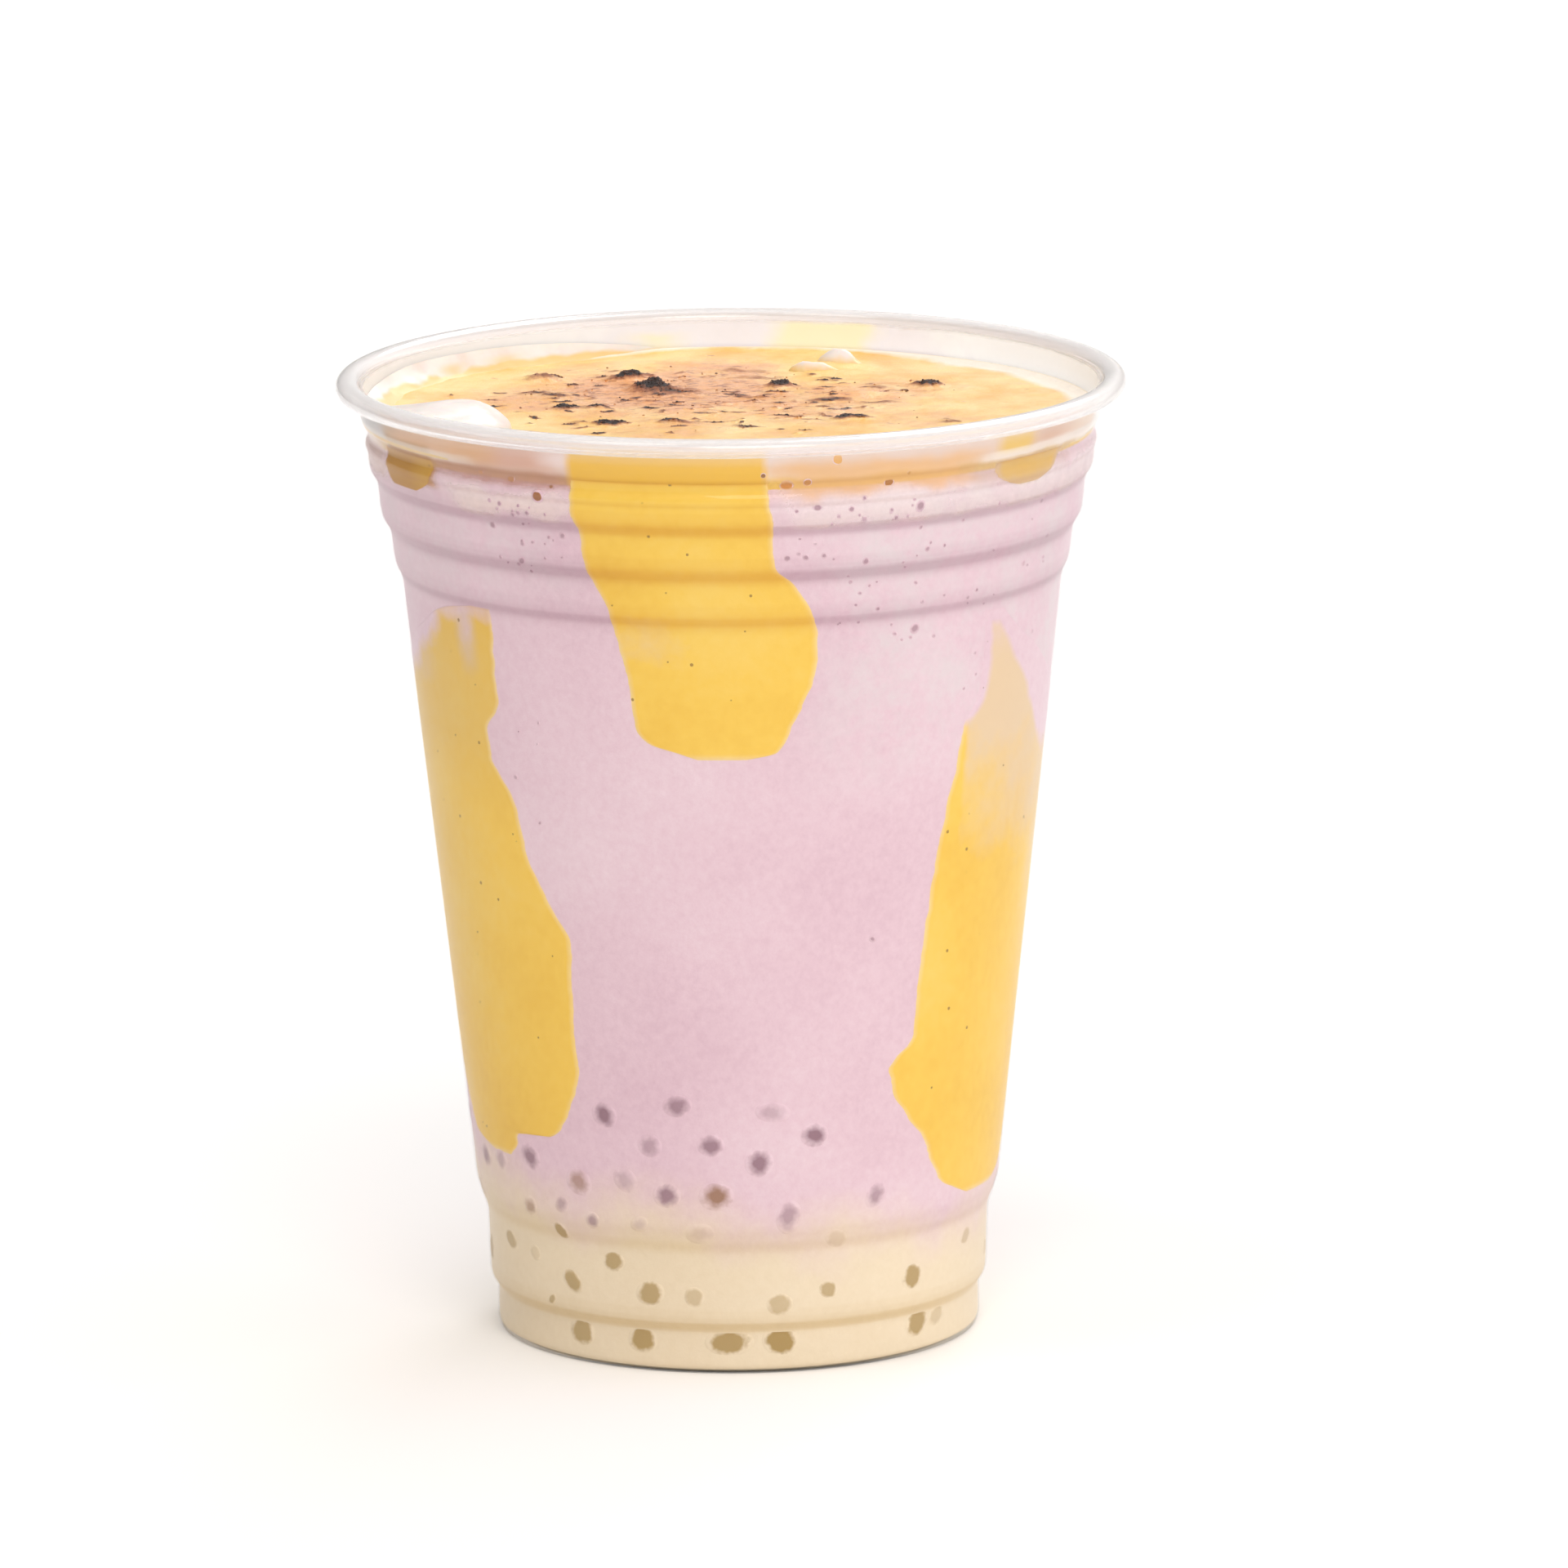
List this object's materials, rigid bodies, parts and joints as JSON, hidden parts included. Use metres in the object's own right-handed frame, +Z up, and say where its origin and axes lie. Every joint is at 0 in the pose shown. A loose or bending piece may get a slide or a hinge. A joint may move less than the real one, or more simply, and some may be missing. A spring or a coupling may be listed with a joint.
{
  "type": "iced drink in a clear cup",
  "caption": "Taro milk tea with sago pearls in a clear tapered cup, custard runs on the wall, a torched custard top and soft cream.",
  "frame": {"origin": "centre of the foot ring, on the surface the cup stands on", "axes": "+Z up along the cup's axis, -Y towards the front shown in the picture, +X to the right"},
  "size_m": [0.098, 0.098, 0.1205],
  "materials": {
    "clear_cup": "clear glossy thin plastic",
    "milk": "smooth pale milk against the wall",
    "taro": "smooth pale lavender-pink drink",
    "custard": "smooth yellow custard with fine specks",
    "torched_custard": "glossy torched custard with char flecks",
    "cream": "soft wet cream"
  },
  "bodies": {
    "root": {"cup": "clear_cup", "milk_layer": "milk", "taro_drink": "taro", "custard_run_front": "custard", "custard_run_left": "custard", "custard_run_right": "custard", "custard_run_back": "custard", "custard_run_back_left": "custard", "custard_run_back_right": "custard", "custard_patch_left": "custard", "custard_patch_right": "custard", "torched_custard": "torched_custard", "cream_wall": "cream", "cream_mound": "cream", "cream_dollop_back": "cream", "cream_dollop_front": "cream"}
  },
  "joints": []
}
